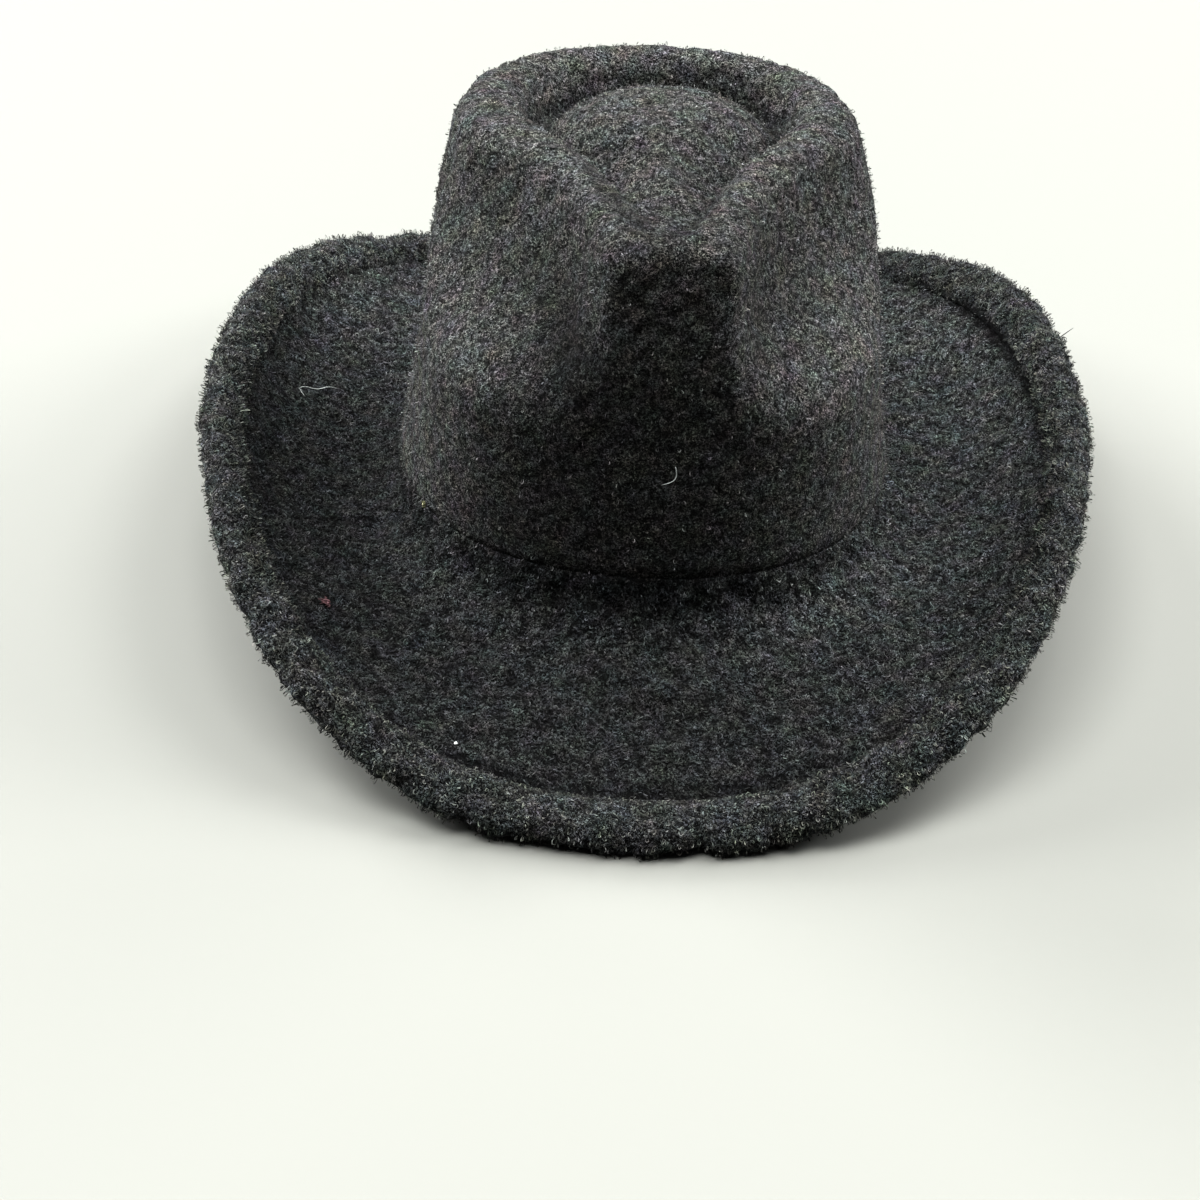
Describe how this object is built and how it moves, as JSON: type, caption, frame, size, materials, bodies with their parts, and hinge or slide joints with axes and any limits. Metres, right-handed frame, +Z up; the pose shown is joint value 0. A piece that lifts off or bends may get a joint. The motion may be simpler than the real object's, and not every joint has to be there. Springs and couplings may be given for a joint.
{
  "type": "western fedora, pinched front, boucle wool",
  "caption": "Western-style fedora of black boucle wool, with a pinched teardrop crown and a wide curled brim with a folded edge band.",
  "frame": {"origin": "on the floor, under the middle of the hat's box", "axes": "the front of the hat faces -Y, +X is to the viewer's right seen from the front, +Z is up"},
  "size_m": [0.2992, 0.3534, 0.1507],
  "materials": {
    "crown_boucle": "black curly-pile boucle wool",
    "brim_boucle": "black curly-pile boucle wool",
    "binding_boucle": "black curly-pile boucle wool, folded over the edge"
  },
  "bodies": {
    "root": {"crown": "crown_boucle", "brim": "brim_boucle", "edge_binding": "binding_boucle"}
  },
  "joints": []
}
